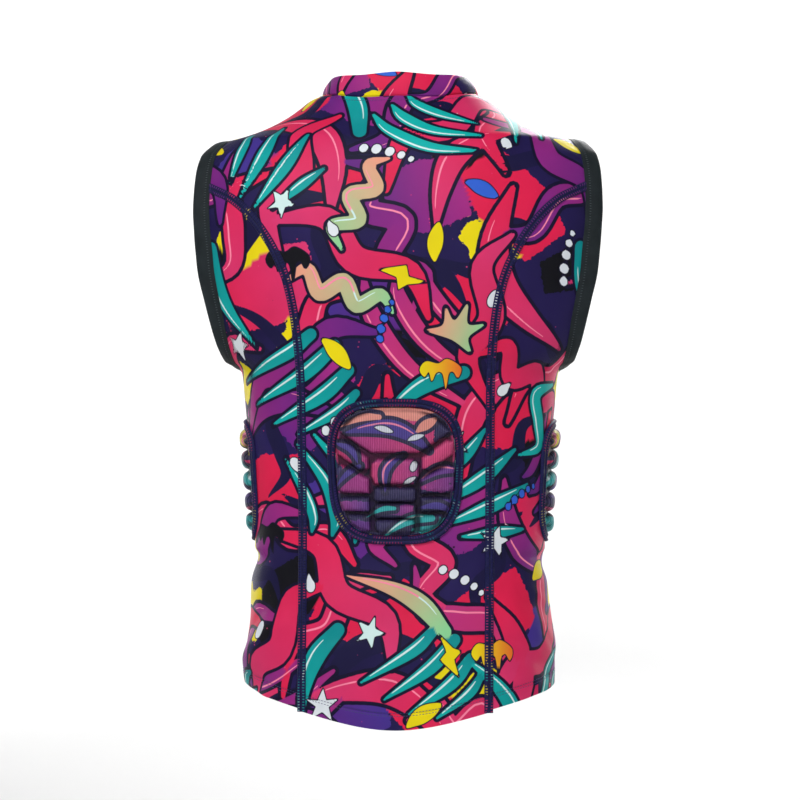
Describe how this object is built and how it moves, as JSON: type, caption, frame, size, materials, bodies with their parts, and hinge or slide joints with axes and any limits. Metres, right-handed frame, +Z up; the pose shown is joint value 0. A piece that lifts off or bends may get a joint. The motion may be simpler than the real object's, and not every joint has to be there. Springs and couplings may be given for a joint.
{
  "type": "chest protector shirt",
  "caption": "Sleeveless padded sports shirt with a stand collar, bound armholes and moulded foam pads over the spine, ribs and breastbone, in the form it has when worn.",
  "frame": {"origin": "midway between the two points where the shoulder seams meet the collar", "axes": "+X towards the wearer's right, +Y towards the wearer's front, +Z up along the body"},
  "size_m": [0.4006, 0.2345, 0.6348],
  "materials": {
    "printed_cloth": "smooth stretch knit with an all-over multicoloured print on deep indigo",
    "pad_cover": "printed stretch cover moulded over foam blocks, with a fine upright rib",
    "seam_thread": "flat covered stitching in matt navy thread",
    "binding_elastic": "matt charcoal elastic",
    "cloth_inside": "unprinted brushed inner face"
  },
  "bodies": {
    "root": {"back_panel": "printed_cloth", "front_panel": "printed_cloth", "side_panel_left": "printed_cloth", "side_panel_right": "printed_cloth", "collar": "printed_cloth", "armhole_binding_left": "binding_elastic", "armhole_binding_right": "binding_elastic", "back_seam_left": "seam_thread", "back_seam_right": "seam_thread", "front_seam_left": "seam_thread", "front_seam_right": "seam_thread", "back_pad": "pad_cover", "back_pad_edge": "seam_thread", "rib_pad_left": "pad_cover", "rib_pad_edge_left": "seam_thread", "rib_pad_right": "pad_cover", "rib_pad_edge_right": "seam_thread", "chest_pad": "pad_cover", "chest_pad_edge": "seam_thread"}
  },
  "joints": []
}
